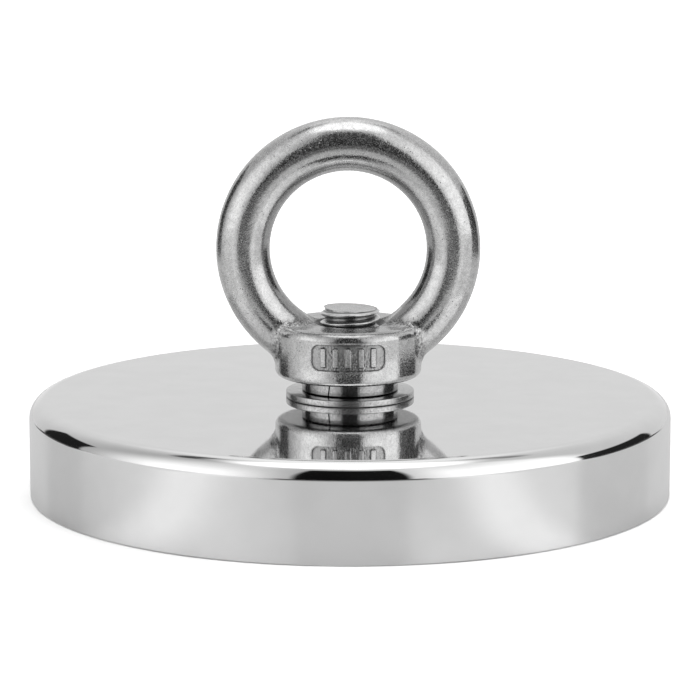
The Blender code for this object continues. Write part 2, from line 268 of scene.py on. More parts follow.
def smooth_step(value, low, high):
    """0 below low, 1 above high, and an S curve between."""
    t = np.clip((value - low) / (high - low), 0.0, 1.0)
    return t * t * (3 - 2 * t)


# ---------------------------------------------------------------- shader tools


class Wire:
    """A shader socket that arithmetic works on, so that a node tree reads as a formula."""

    def __init__(self, tree, socket):
        self.tree = tree
        self.socket = socket

    def math(self, operation, *others):
        node = self.tree.nodes.new("ShaderNodeMath")
        node.operation = operation
        for place, value in zip(node.inputs, (self, *others)):
            join(place, value)
        return Wire(self.tree, node.outputs[0])

    def __add__(self, other):
        return self.math("ADD", other)

    def __sub__(self, other):
        return self.math("SUBTRACT", other)

    def __mul__(self, other):
        return self.math("MULTIPLY", other)

    def __truediv__(self, other):
        return self.math("DIVIDE", other)

    def rise(self, low, high, bottom=0.0, top=1.0):
        """An S curve from bottom to top as this value goes from low to high."""
        node = self.tree.nodes.new("ShaderNodeMapRange")
        node.interpolation_type = "SMOOTHSTEP"
        join(node.inputs["Value"], self)
        join(node.inputs["From Min"], low)
        join(node.inputs["From Max"], high)
        join(node.inputs["To Min"], bottom)
        join(node.inputs["To Max"], top)
        return Wire(self.tree, node.outputs["Result"])

    def window(self, low, high, soft):
        """1 between low and high, 0 outside, with soft edges centred on both limits."""
        return self.rise(low - soft, low + soft) * self.rise(high - soft, high + soft, 1.0, 0.0)

    def mixed(self, other, share):
        """This value, going over to the other one by share."""
        return self * (share * -1.0 + 1.0) + share * other


def join(place, value):
    """Connect a wire, or set a plain value, at a node's input."""
    if isinstance(value, Wire):
        value.tree.links.new(value.socket, place)
    else:
        place.default_value = value


def new_node(tree, kind, output, **inputs):
    """A node with its inputs joined by name. Underscores stand for spaces in the names."""
    node = tree.nodes.new(kind)
    for name, value in inputs.items():
        join(node.inputs[name.replace("_", " ")], value)
    return Wire(tree, node.outputs[output])


def axes(tree, socket):
    """The x, y and z of a vector socket."""
    split = tree.nodes.new("ShaderNodeSeparateXYZ")
    tree.links.new(socket, split.inputs[0])
    return [Wire(tree, out) for out in split.outputs]


def vector(tree, x, y, z):
    """A vector from three values."""
    node = tree.nodes.new("ShaderNodeCombineXYZ")
    for place, value in zip(node.inputs, (x, y, z)):
        join(place, value)
    return Wire(tree, node.outputs[0])


def grain(tree, place, size, detail=2.0, rough=0.5, stretch=0.0):
    """Noise from 0 to 1 with lumps of about size millimetres."""
    return new_node(
        tree,
        "ShaderNodeTexNoise",
        "Fac",
        Vector=place,
        Scale=1.0 / (size * MM),
        Detail=detail,
        Roughness=rough,
        Distortion=stretch,
    )


def bump(tree, height, depth_mm, normal=None):
    """A bump whose height of 1 stands depth_mm proud."""
    node = tree.nodes.new("ShaderNodeBump")
    node.inputs["Strength"].default_value = 1.0
    node.inputs["Distance"].default_value = depth_mm * MM
    join(node.inputs["Height"], height)
    if normal is not None:
        join(node.inputs["Normal"], normal)
    return Wire(tree, node.outputs["Normal"])


def new_material(name):
    """An empty node material: its tree, its output's surface input and its object coordinates."""
    material = bpy.data.materials.new(name)
    material.use_nodes = True
    tree = material.node_tree
    tree.nodes.clear()
    surface = tree.nodes.new("ShaderNodeOutputMaterial").inputs["Surface"]
    place = Wire(tree, tree.nodes.new("ShaderNodeTexCoord").outputs["Object"])
    return material, tree, surface, place


def metal(tree, surface, colour, roughness, normal, haze, haze_roughness):
    """Polished metal: a sharp reflection with a share of wide haze over it."""
    lobes = []
    for width in (roughness, haze_roughness):
        shader = tree.nodes.new("ShaderNodeBsdfPrincipled")
        join(shader.inputs["Base Color"], colour)
        join(shader.inputs["Metallic"], 1.0)
        join(shader.inputs["Roughness"], width)
        if normal is not None:
            join(shader.inputs["Normal"], normal)
        lobes.append(shader.outputs[0])
    mix = tree.nodes.new("ShaderNodeMixShader")
    join(mix.inputs["Fac"], haze)
    tree.links.new(lobes[0], mix.inputs[1])
    tree.links.new(lobes[1], mix.inputs[2])
    tree.links.new(mix.outputs[0], surface)


def cavity(tree, reach_mm):
    """How open the surface is, from 0 in a tight corner to 1 in the open, for painting shade into corners.
    """
    node = tree.nodes.new("ShaderNodeAmbientOcclusion")
    node.samples = 8
    node.inputs["Distance"].default_value = reach_mm * MM
    return Wire(tree, node.outputs["AO"])


# ---------------------------------------------------------------- materials


def nickel_plate():
    """Mirror-bright nickel plate: faint long waves from the turning and buffing, and a little haze."""
    material, tree, surface, place = new_material("nickel_plate")
    x, y, z = axes(tree, place.socket)
    turn = x.math("ARCTAN2", y)
    radius = (x * x + y * y).math("SQRT")
    ribbed = vector(tree, turn * (POT_RADIUS * MM), z * 0.12, radius * 0.5)
    waves = grain(tree, place, 14.0, 2.0, 0.4)
    ribs = grain(tree, ribbed, 3.2, 2.0, 0.5)
    smudge = grain(tree, place, 9.0, 4.0, 0.6)
    normal = bump(tree, waves, 0.006)
    normal = bump(tree, ribs, 0.0007, normal)
    fine = grain(tree, place, 0.5, 3.0, 0.6)
    colour = smudge.rise(0.3, 0.7, 0.85, 0.885)
    roughness = smudge.rise(0.35, 0.75, 0.03, 0.05) + fine * 0.012
    metal(tree, surface, colour, roughness, normal, 0.006, 0.4)
    return material


def cast_stainless():
    """Cast stainless, tumbled and hand polished: grainy, mottled, darker where no wheel reaches, with
    painted shade in its corners, seam, pad walls, bore and underside.
    """
    material, tree, surface, place = new_material("cast_stainless")
    x, y, z = axes(tree, place.socket)
    x, y, z = x / MM - CAST_SHIFT, y / MM, z / MM
    up = z - RING_HEIGHT
    from_eye = (x * x + up * up).math("SQRT")
    from_axis = (x * x + y * y).math("SQRT")
    eye_edge = RING_RADIUS - 2.6
    in_eye = from_eye.rise(eye_edge - 1.7, eye_edge, 1.0, 0.0)

    # the sunk pad: its floor, its wall, and the ribs that stand in it
    pad_rows = z.window(PAD_MIDDLE - PAD_HEIGHT / 2, PAD_MIDDLE + PAD_HEIGHT / 2, 0.1)
    pad_area = y.rise(-10.0, -9.0, 1.0, 0.0) * pad_rows
    in_pad = from_axis.rise(NUT_RADIUS - 0.4, NUT_RADIUS - 0.1, 1.0, 0.0) * pad_area
    # painted shade on the pad's walls and on the ribs' sides
    pad_wall_shade = from_axis.window(NUT_RADIUS - PAD_DEPTH + 0.06, NUT_RADIUS - 0.12, 0.04) * pad_area
    half_across, half_up = 5.9, 1.9
    rib_rows = z.window(PAD_MIDDLE - half_up, PAD_MIDDLE + half_up, 0.1)
    rib_area = x.window(-half_across, half_across, 0.2) * rib_rows
    on_rib = (in_pad * -1.0 + 1.0) * pad_area * rib_area

    # the underside and the threaded hole, on the stud's axis, get painted shade and less haze
    underside = z.rise(NUT_BOTTOM + 0.1, NUT_BOTTOM + 0.5, 1.0, 0.0)
    off_bore = x + CAST_SHIFT
    from_bore = (off_bore * off_bore + y * y).math("SQRT")
    below_top = z.rise(NUT_TOP - 0.12, NUT_TOP - 0.02, 1.0, 0.0)
    in_bore = from_bore.rise(NUT_MOUTH - 0.12, NUT_MOUTH, 1.0, 0.0) * below_top
    shaded_underside_and_bore = underside.math("MAXIMUM", in_bore)

    # the seam, where the ring's skin and the base's skin are equally near and the wheel never reached
    from_tube = from_eye - RING_RADIUS
    to_ring = (from_tube * from_tube + y * y).math("SQRT") - RING_TUBE
    to_base = (from_axis - NUT_RADIUS).math("MAXIMUM", z - NUT_TOP)
    mottle = grain(tree, place, 1.4, 4.0, 0.65)
    grit = grain(tree, place, 0.42, 3.0, 0.62)
    sand = grain(tree, place, 0.24, 2.0, 0.5)
    patches = grain(tree, place, 5.0, 3.0, 0.5)
    seam = ((to_ring - to_base).math("ABSOLUTE") + mottle * 0.8).rise(0.5, 2.0, 1.0, 0.0)
    pits = new_node(tree, "ShaderNodeTexVoronoi", "Distance", Vector=place, Scale=1.0 / (0.8 * MM))
    pit = pits.rise(0.05, 0.22, 1.0, 0.0) * (patches + seam * 0.2).rise(0.45, 0.6)
    normal = bump(tree, mottle, 0.014)
    normal = bump(tree, grit * (seam * 2.0 + 1.0), 0.014, normal)
    normal = bump(tree, sand, 0.009, normal)
    normal = bump(tree, pit * -1.0, 0.035, normal)
    # painted shade: darker in the seam's crease, broken up by grit, and in corners where ambient occlusion
    # finds them
    seam_shade = seam * grit.rise(0.3, 0.62, 0.75, 0.1) * -1.0 + 1.0
    corner_shade = cavity(tree, 1.6).rise(0.3, 0.95, 0.3, 1.0) * seam_shade
    # duller inside the eye and on the pad's floor; painted shade on the pad's walls, under the nut and in
    # its threaded hole
    dull_and_shade = (in_eye * -0.3 + 1.0) * (in_pad * -0.28 + 1.0)
    dull_and_shade = dull_and_shade * (pad_wall_shade * -0.5 + 1.0) * (shaded_underside_and_bore * -0.65 + 1.0)
    speckle = grit.rise(0.36, 0.6, 0.84, 1.0) * sand.rise(0.36, 0.62, 0.88, 1.0)
    colour = mottle.rise(0.3, 0.7, 0.665, 0.8) * corner_shade * (pit * -0.5 + 1.0) * dull_and_shade * speckle
    roughness = patches.rise(0.35, 0.7, 0.05, 0.1) + grit * 0.04 + in_pad * 0.2 + seam * 0.14
    haze = sand.rise(0.46, 0.62, 0.12, 0.42) * (shaded_underside_and_bore * -0.6 + 1.0) + on_rib * 0.3
    metal(tree, surface, colour, roughness, normal, haze, 0.46)
    return material


def rolled_steel():
    """The screw's stainless: rolled thread flanks with drawn streaks, and a sawn, scratched end, with
    painted shade in the thread's roots, its corners and round the end's rim.
    """
    material, tree, surface, place = new_material("screw_steel")
    x, y, z = axes(tree, place.socket)
    turn = x.math("ARCTAN2", y)
    radius = (x * x + y * y).math("SQRT")
    drawn = vector(tree, turn * (0.35 * MM), z, radius)
    streaks = grain(tree, drawn, 0.16, 3.0, 0.6)
    sawn = grain(tree, vector(tree, x * 0.12, y, 0.0), 0.22, 3.0, 0.6, 0.4)
    on_end = (z / MM).rise(SCREW_TIP - 0.75, SCREW_TIP - 0.6) * (radius / MM).rise(4.7, 5.0, 1.0, 0.0)
    marks = streaks * (on_end * -1.0 + 1.0) + sawn * on_end
    mottle = grain(tree, place, 1.1, 4.0, 0.6)
    grit = grain(tree, place, 0.3, 3.0, 0.6)
    normal = bump(tree, marks, 0.006)
    normal = bump(tree, mottle, 0.012, normal)
    normal = bump(tree, grit, 0.008, normal)
    # painted shade in the thread's roots, in corners, and along the rim of the sawn end
    thread_root_shade = (radius / MM).rise(THREAD_ROOT, THREAD_CREST - 0.1, 0.45, 1.0)
    thread_root_shade = thread_root_shade.math("MAXIMUM", on_end)
    end_rim_shade = (z / MM).rise(SCREW_TIP - 0.8, SCREW_TIP - 0.7) * (radius / MM).window(4.82, 5.1, 0.06)
    corner_shade = cavity(tree, 1.0).rise(0.25, 0.85, 0.25, 1.0) * thread_root_shade * (end_rim_shade * -0.4 + 1.0)
    tone = mottle.rise(0.3, 0.7, 0.8, 0.94) * corner_shade
    colour = tone * marks.rise(0.3, 0.65, 0.7, 1.0) * (on_end * -0.3 + 1.0)
    roughness = marks.rise(0.3, 0.7, 0.1, 0.2) + on_end * 0.06
    metal(tree, surface, colour, roughness, normal, 0.2, 0.5)
    return material


def washer_steel(name, rim_radius, shade, rim_shade, rim_tear):
    """Punched and tumbled washers: bright faces, and rims torn by the punch and streaked upright.

    shade darkens the faces and rim_shade the rim, which starts just inside rim_radius; the spring washer's
    lower values of both are painted shade, for its place under the nut. rim_tear roughens the rim."""
    material, tree, surface, place = new_material(name)
    x, y, z = axes(tree, place.socket)
    turn = x.math("ARCTAN2", y)
    radius = (x * x + y * y).math("SQRT")
    rim = (radius / MM).rise(rim_radius - 0.2, rim_radius - 0.08)
    upright = grain(tree, vector(tree, turn * (9.0 * MM), z * 0.25, radius), 0.3, 3.0, 0.6)
    rubbed = grain(tree, vector(tree, turn * (2.0 * MM), z, radius), 0.25, 3.0, 0.6)
    mottle = grain(tree, place, 0.9, 4.0, 0.6)
    grit = grain(tree, place, 0.3, 3.0, 0.65)
    normal = bump(tree, rubbed, 0.004)
    normal = bump(tree, mottle, 0.008, normal)
    normal = bump(tree, (upright * 0.6 + grit) * (rim * rim_tear + 0.1), 0.022, normal)
    # painted shade in corners and where the washers meet other parts
    corner_shade = cavity(tree, 0.9).rise(0.1, 0.85, 0.3, 1.0)
    tone = (rim * -1.0 + 1.0) * shade + rim * rim_shade
    speckle = grit.rise(0.3, 0.62, 0.72, 1.0) * upright.rise(0.3, 0.6, 0.82, 1.0)
    colour = mottle.rise(0.3, 0.7, 0.74, 0.88) * corner_shade * tone * speckle
    roughness = rubbed.rise(0.3, 0.7, 0.07, 0.13) + rim * (0.14 * rim_tear)
    metal(tree, surface, colour, roughness, normal, rim * (0.14 * rim_tear) + 0.05, 0.45)
    return material


def magnet_nickel():
    """Dull barrel plating on sintered magnets, with a fine orange skin."""
    material, tree, surface, place = new_material("magnet_nickel")
    skin = grain(tree, place, 0.4, 3.0, 0.6)
    cloud = grain(tree, place, 6.0, 4.0, 0.6)
    normal = bump(tree, skin, 0.004)
    colour = cloud.rise(0.3, 0.7, 0.55, 0.66)
    metal(tree, surface, colour, skin.rise(0.3, 0.7, 0.22, 0.34), normal, 0.2, 0.6)
    return material


def turned_aluminium():
    """The bush: facing-cut rings from the lathe."""
    material, tree, surface, place = new_material("bush_aluminium")
    x, y, z = axes(tree, place.socket)
    radius = (x * x + y * y).math("SQRT")
    rings = grain(tree, vector(tree, radius, z, 0.0), 0.14, 2.0, 0.5)
    cloud = grain(tree, place, 3.0, 3.0, 0.5)
    normal = bump(tree, rings, 0.006)
    colour = cloud.rise(0.3, 0.7, 0.7, 0.78)
    metal(tree, surface, colour, rings.rise(0.3, 0.7, 0.2, 0.32), normal, 0.2, 0.5)
    return material


def potting_resin():
    """Black epoxy, poured and cured: glossy with a soft wave and specks of dust."""
    material, tree, surface, place = new_material("potting_resin")
    wave = grain(tree, place, 5.0, 2.0, 0.5)
    dust = grain(tree, place, 0.35, 4.0, 0.7)
    shader = tree.nodes.new("ShaderNodeBsdfPrincipled")
    join(shader.inputs["Base Color"], dust.rise(0.45, 0.8, 0.012, 0.05))
    join(shader.inputs["Roughness"], dust.rise(0.4, 0.7, 0.16, 0.34))
    join(shader.inputs["Normal"], bump(tree, dust, 0.004, bump(tree, wave, 0.12)))
    tree.links.new(shader.outputs[0], surface)
    return material


# ---------------------------------------------------------------- the pot and what is in it


def build_pot(material):
    """The turned pot, with its rolled top edge, broken bottom edge and the deep hollow under it."""
    cavity_radius = CAVITY_RADIUS + 0.3
    cavity_top = POT_HEIGHT - POT_FLOOR
    under_washer = 10.0
    wall_row = 12.0
    hair = 0.03
    rim = POT_RADIUS - POT_BOTTOM_EDGE
    rows = [(SCREW_HOLE, POT_HEIGHT - 0.3), (SCREW_HOLE + 0.3, POT_HEIGHT), (SCREW_HOLE + 0.4, POT_HEIGHT)]
    rows += [(r, POT_HEIGHT) for r in np.linspace(under_washer, POT_RADIUS - POT_EDGE - hair, 40)]
    rows += arc(POT_RADIUS - POT_EDGE, POT_HEIGHT - POT_EDGE, POT_EDGE, 90, 0, 28)
    rows += [(POT_RADIUS, POT_HEIGHT - POT_EDGE - hair)]
    rows += [(POT_RADIUS, h) for h in np.linspace(wall_row, POT_BOTTOM_EDGE + hair, 6)]
    rows += arc(rim, POT_BOTTOM_EDGE, POT_BOTTOM_EDGE, 0, -90, 6)
    rows += [(rim - hair, 0.0), (cavity_radius + POT_BOTTOM_EDGE + hair, 0.0)]
    rows += [(cavity_radius + POT_BOTTOM_EDGE, 0.0), (cavity_radius, POT_BOTTOM_EDGE)]
    rows += [(cavity_radius, cavity_top - 0.5), (cavity_radius - 0.5, cavity_top)]
    rows += [(SCREW_HOLE + 0.3, cavity_top), (SCREW_HOLE, cavity_top + 0.3)]
    mesh = make_mesh("pot_shell", *lathe(rows, 360, True))
    return dress(make_object("pot_shell", mesh), "magnet_body", material, "nickel_plate", "steel_pot")


# ---------------------------------------------------------------- the screw


def thread_radius(angle, height, widen=0.0):
    """Radius of a right-hand thread at each angle and height, with its crest and root rounded a little.

    widen thickens the thread on both flanks, for the groove that it runs in."""
    total = 0.0
    offsets = np.linspace(-0.08, 0.08, 5)
    for offset in offsets:
        travel = height + offset - THREAD_CREST_HEIGHT - THREAD_PITCH * angle / (2 * pi)
        from_crest = np.abs((travel + THREAD_PITCH / 2) % THREAD_PITCH - THREAD_PITCH / 2)
        drop = (from_crest - THREAD_CREST_WIDTH / 2 - widen) / tan(THREAD_FLANK)
        total = total + np.clip(THREAD_CREST - drop, THREAD_ROOT, THREAD_CREST)
    return total / len(offsets)


def build_screw(material):
    """The countersunk screw as one surface: sawn end, thread, plain neck, cone and hexagon socket."""
    segments = 120
    angles = np.arange(segments) * 2 * pi / segments
    whole = np.ones(segments)
    seen_depth = 4.0
    fine_row, coarse_row = 0.045, 0.125
    heights = [SCREW_TIP - 0.01]
    while heights[-1] > SHANK_TOP:
        near_top = heights[-1] > SCREW_TIP - seen_depth
        heights.append(heights[-1] - (fine_row if near_top else coarse_row))

    def screw_radius(height):
        limit = SCREW_TIP_RADIUS + (SCREW_TIP - height)
        run_in = smooth_step(height, SHANK_TOP, SHANK_TOP + THREAD_PITCH)
        radius = thread_radius(angles, height)
        return np.minimum(SHANK_RADIUS + (radius - SHANK_RADIUS) * run_in, limit)

    edge = screw_radius(SCREW_TIP)
    dish = 0.05
    rows = [(0.0, SCREW_TIP - dish)]
    for share in np.linspace(0.08, 0.97, 12):
        rows.append((edge * share, (SCREW_TIP - dish * (1 - share**4)) * whole))
    rows += [(screw_radius(h), h * whole) for h in heights]
    land_top = SCREW_BOTTOM + HEAD_LAND
    cone_top = land_top + HEAD_RADIUS - SHANK_RADIUS
    rows += [(SHANK_RADIUS, h) for h in (SHANK_TOP - 0.1, cone_top + 0.4)]
    rows += [(SHANK_RADIUS + 0.15, cone_top - 0.05)]
    rows += [(HEAD_RADIUS - 0.1, land_top + 0.1), (HEAD_RADIUS, land_top)]
    rows += [(HEAD_RADIUS, SCREW_BOTTOM + 0.2), (HEAD_RADIUS - 0.2, SCREW_BOTTOM)]
    rows += [(r, SCREW_BOTTOM) for r in (10.5, 8.5, 6.8, 5.6)]
    around = (angles + pi / 6) % (pi / 3) - pi / 6
    hexagon = SOCKET_ACROSS_FLATS / 2 / np.cos(around)
    socket_top = SCREW_BOTTOM + SOCKET_DEPTH
    lead_in = SOCKET_ACROSS_FLATS / 2 / cos(pi / 6) + 0.15
    rows += [(lead_in, SCREW_BOTTOM), (hexagon, (SCREW_BOTTOM + lead_in - hexagon) * whole)]
    rows += [(hexagon, socket_top * whole), (hexagon * 0.9, (socket_top + 0.1) * whole)]
    rows += [(1.5, socket_top + 1.6), (0.0, socket_top + 2.2)]
    points, faces = lathe(rows, segments, False)
    leaning_depth = 1.3
    sawn = smooth_step(points[:, 2], SCREW_TIP - leaning_depth, SCREW_TIP - 0.1)
    points[:, 2] -= sawn * tan(SAW_TILT) * (points[:, 0] + SCREW_TIP_RADIUS)
    mesh = make_mesh("screw_threaded", points, faces)
    return dress(
        make_object("screw_threaded", mesh), "screw", material, "screw_steel", "countersunk_screw", sharp=32
    )


# ---------------------------------------------------------------- washers


def ring_section(inner, outer, bottom, top, edge, steps):
    """A rectangular section with rounded corners, from its top inner corner down the outer side."""
    points = arc(inner + edge, top - edge, edge, 180, 90, steps)
    points += arc(outer - edge, top - edge, edge, 90, 0, steps)
    points += arc(outer - edge, bottom + edge, edge, 0, -90, steps)
    points += arc(inner + edge, bottom + edge, edge, 270, 180, steps)
    return points


def build_plain_washer(material):
    """The plain washer, punched from sheet: both rims rolled over a little."""
    bottom = POT_HEIGHT + CONTACT
    rows = ring_section(WASHER_HOLE, WASHER_RADIUS, bottom, WASHER_TOP, WASHER_EDGE, 5)
    mesh = make_mesh("washer_plain", *lathe(rows, 180, True))
    return dress(make_object("washer_plain", mesh), "magnet_body", material, "washer_steel", "flat_washer")


def build_lock_washer(material):
    """The spring washer, pressed flat: a square coil whose two slanted ends almost meet."""
    bottom = WASHER_TOP + CONTACT
    top = NUT_BOTTOM - CONTACT
    middle = (bottom + top) / 2
    section = np.array(ring_section(LOCK_HOLE, LOCK_RADIUS, bottom, top, LOCK_EDGE, 5))
    radius, height = section.T
    lean = tan(LOCK_SPLIT_LEAN) * (height - middle)
    start = LOCK_SPLIT_BEARING + (lean + LOCK_SPLIT / 2) / radius
    end = LOCK_SPLIT_BEARING + 2 * pi + (lean - LOCK_SPLIT / 2) / radius
    mesh = face_outwards(make_mesh("washer_spring", *sweep(section, start, end, 180)))
    return dress(make_object("washer_spring", mesh), "magnet_body", material, "washer_steel", "lock_washer")


# ---------------------------------------------------------------- the eye nut

VOXEL = 0.36
BLEND = 1.5


def base_distance(points):
    """Distance to the round base, with its top and bottom edges rounded."""
    x, y, z = points.T
    upper = z > NUT_BOTTOM + NUT_HEIGHT / 2
    edge = np.where(upper, NUT_TOP_EDGE, NUT_BOTTOM_EDGE)
    out = np.hypot(x, y) - NUT_RADIUS + edge
    up = np.abs(z - NUT_BOTTOM - NUT_HEIGHT / 2) - NUT_HEIGHT / 2 + edge
    return np.minimum(np.maximum(out, up), 0) + np.hypot(np.maximum(out, 0), np.maximum(up, 0)) - edge


def ring_distance(points):
    """Distance to the lifting ring, in the casting's own place."""
    x, y, z = points.T
    return np.hypot(np.hypot(x, z - RING_HEIGHT) - RING_RADIUS, y) - RING_TUBE


def casting_distance(points):
    """Distance to base and ring cast as one, with a fillet between them and a flat underside."""
    base, ring = base_distance(points), ring_distance(points)
    near = np.maximum(BLEND - np.abs(base - ring), 0) / BLEND
    joined = np.minimum(base, ring) - near * near * BLEND / 4
    return np.maximum(joined, NUT_BOTTOM - points[:, 2])


def casting_normals(points):
    """Outward directions of the casting's surface."""
    step = 0.01
    slopes = []
    for axis in np.eye(3) * step:
        slopes.append(casting_distance(points + axis) - casting_distance(points - axis))
    slopes = np.stack(slopes, 1)
    return slopes / np.maximum(np.linalg.norm(slopes, axis=1, keepdims=True), 1e-9)


def rough_casting():
    """Base and ring as one coarse watertight mesh, for the fine surface to be drawn onto."""
    rows = [(0.0, NUT_TOP)]
    rows += arc(NUT_RADIUS - NUT_TOP_EDGE, NUT_TOP - NUT_TOP_EDGE, NUT_TOP_EDGE, 90, 0, 6)
    rows += arc(NUT_RADIUS - NUT_BOTTOM_EDGE, NUT_BOTTOM + NUT_BOTTOM_EDGE, NUT_BOTTOM_EDGE, 0, -90, 6)
    rows += [(0.0, NUT_BOTTOM)]
    casting = make_object("eye_nut_cast", make_mesh("eye_nut_cast", *lathe(rows, 96, False)))
    tube = np.linspace(0, 2 * pi, 48, endpoint=False)
    round_ring = np.linspace(0, 2 * pi, 144, endpoint=False)
    points, faces = [], []
    for i, a in enumerate(round_ring):
        reach = RING_RADIUS + RING_TUBE * np.cos(tube)
        points.append(np.stack([reach * cos(a), RING_TUBE * np.sin(tube), RING_HEIGHT + reach * sin(a)], 1))
        here, there = i * len(tube), (i + 1) % len(round_ring) * len(tube)
        for j in range(len(tube)):
            k = (j + 1) % len(tube)
            faces.append((here + j, there + j, there + k, here + k))
    ring = make_object("eye_ring", make_mesh("eye_ring", np.concatenate(points), faces))
    for item in (casting, ring):
        face_outwards(item.data)
    carve(casting, "UNION", ring)
    remesh = casting.modifiers.new("even", "REMESH")
    remesh.mode = "VOXEL"
    remesh.voxel_size = VOXEL * MM
    return applied(casting)


def split_faces(mesh, wanted, cuts):
    """Cut the wanted faces into a finer grid. wanted takes face centres in millimetres."""
    edit = bmesh.new()
    edit.from_mesh(mesh)
    centres = np.array([face.calc_center_median() for face in edit.faces]) / MM
    chosen = wanted(centres)
    edges = {edge for face, take in zip(edit.faces, chosen) if take for edge in face.edges}
    bmesh.ops.subdivide_edges(edit, edges=list(edges), cuts=cuts, use_grid_fill=True)
    edit.to_mesh(mesh)
    edit.free()


def box_outline(across, up, width, height, corner):
    """Distance in the flat to a rounded rectangle, negative inside."""
    out = np.abs(across) - width / 2 + corner
    over = np.abs(up) - height / 2 + corner
    return np.minimum(np.maximum(out, over), 0) + np.hypot(np.maximum(out, 0), np.maximum(over, 0)) - corner


def pad_depth(points):
    """How deep the front pad is sunk at each point: a grainy floor with plain upright ribs on it."""
    x, y, z = points.T
    across = NUT_RADIUS * np.arcsin(np.clip(x / NUT_RADIUS, -1, 1))
    up = z - PAD_MIDDLE
    outline = box_outline(across, up, PAD_WIDTH, PAD_HEIGHT, PAD_CORNER)
    sunk = smooth_step(-outline, 0.0, PAD_WALL)
    spacing = PAD_WIDTH / (PAD_RIBS + 1)
    rib = np.zeros(len(points))
    for number in range(PAD_RIBS):
        place = (number - (PAD_RIBS - 1) / 2) * spacing
        edge = box_outline(across - place, up, PAD_RIB_WIDTH, PAD_RIB_LENGTH, 0.3)
        rib = np.maximum(rib, smooth_step(-edge, -0.1, 0.12))
    floor = PAD_DEPTH - (PAD_DEPTH - PAD_RIB_DROP) * rib
    return np.where(y < 0, sunk * floor, 0.0)


def build_eye_nut(material):
    """The eye nut: one casting with fillets, lumpy seams, a sunk pad, and a real thread through it."""
    casting = rough_casting()
    mesh = casting.data

    def near_pad(centres):
        x, y, z = centres.T
        beside, above = PAD_WIDTH / 2 + 0.75, PAD_HEIGHT / 2 + 0.6
        return (np.abs(x) < beside) & (y < -8.0) & (np.abs(z - PAD_MIDDLE) < above)

    def near_seam(centres):
        gap = np.abs(base_distance(centres) - ring_distance(centres))
        return (gap < 1.0) & (centres[:, 2] > NUT_BOTTOM + 2)

    split_faces(mesh, near_seam, 1)
    split_faces(mesh, near_pad, 3)
    points = points_of(mesh)
    for _ in range(5):
        points = points - casting_normals(points) * casting_distance(points)[:, None]
    normals = casting_normals(points)
    gap = np.abs(base_distance(points) - ring_distance(points))
    seam = np.exp(-((gap / 0.7) ** 2)) * (points[:, 2] > NUT_BOTTOM + 1)
    offset = 0.012 * wander(points, 4.0, 1) + 0.005 * wander(points, 1.6, 2)
    offset += seam * (0.13 * wander(points, 1.1, 3) + 0.05 * wander(points, 0.5, 4))
    sunk = pad_depth(points)
    offset -= sunk * (1.0 + 0.12 * wander(points, 0.3, 5))
    flat = points[:, 2] < NUT_BOTTOM + 0.01
    offset = np.where(flat, 0.0, offset)
    points = points + normals * offset[:, None]
    points[:, 2] = np.clip(points[:, 2], NUT_BOTTOM, NUT_HIGH[2])
    points[:, 0] += CAST_SHIFT
    move_points(mesh, points)

    # the tap that cuts the thread, with a countersink at each end
    segments = 120
    angles = np.arange(segments) * 2 * pi / segments
    whole = np.ones(segments)
    bore, clearance, groove = 5.0, 0.08, 0.2
    lower_mouth = NUT_MOUTH - 0.5
    beyond, tap_row = 3.0, 0.09
    rows = [(0.0, NUT_TOP + beyond + 0.2)]
    for height in np.arange(NUT_TOP + beyond, NUT_BOTTOM - 2.0, -tap_row):
        radius = np.maximum(thread_radius(angles, height, clearance) + groove, bore)
        radius = np.maximum(radius, NUT_MOUTH + height - NUT_TOP)
        radius = np.maximum(radius, lower_mouth + NUT_BOTTOM - height)
        rows.append((radius, height * whole))
    rows.append((0.0, NUT_BOTTOM - 2.2))
    tap = make_object("nut_tap", make_mesh("nut_tap", *lathe(rows, segments, False)))
    carve(casting, "DIFFERENCE", tap)
    return dress(casting, "eye_nut", material, "cast_stainless", "eye_nut", sharp=38)


# ---------------------------------------------------------------- magnets, resin and bush


MAGNET_COUNT = 8
MAGNET_INNER = 19.0
MAGNET_OUTER = 49.0
MAGNET_EDGE = 0.45
MAGNET_GAP = 0.6 / 34.0
RESIN_FACE = RESIN_LOW[2]
RESIN_HAIR = 0.03


def build_magnets(material):
    """The magnet ring's eight arc segments, each with its ground edges broken."""
    for number in range(MAGNET_COUNT):
        node = f"magnet_segment_{number + 1}"
        low, high = box_mm(node)
        bottom, top = low[2], high[2]
        section = [(MAGNET_INNER, bottom), (MAGNET_OUTER, bottom), (MAGNET_OUTER, top), (MAGNET_INNER, top)]
        middle = number * 2 * pi / MAGNET_COUNT
        half = pi / MAGNET_COUNT - MAGNET_GAP / 2
        name = f"magnet_arc_{number + 1}"
        mesh = face_outwards(make_mesh(name, *sweep(section, middle - half, middle + half, 18)))
        item = make_object(name, mesh)
        rounding = item.modifiers.new("edges", "BEVEL")
        rounding.width = MAGNET_EDGE * MM
        rounding.segments = 3
        rounding.limit_method = "ANGLE"
        rounding.angle_limit = radians(35)
        dress(applied(item), "magnet_body", material, "magnet_nickel", node)


def resin_ring(name, inner, outer, top):
    """A poured resin ring whose free face creeps up both walls, seen from below."""
    creep, reach = 0.22, 0.8
    rows = [(inner, top), (outer, top)]
    across = np.concatenate([np.linspace(outer, outer - reach, 7), np.linspace(inner + reach, inner, 7)])
    for r in across:
        wall = min(outer - r, r - inner)
        rows.append((r, RESIN_FACE - creep * max(0.0, 1 - wall / reach) ** 2))
    points, faces = lathe(rows, 240, True)
    free_face = points[:, 2] < RESIN_FACE + 0.01
    points[:, 2] += free_face * 0.03 * wander(points, 3.0, 7)
    return make_object(name, make_mesh(name, points, faces))


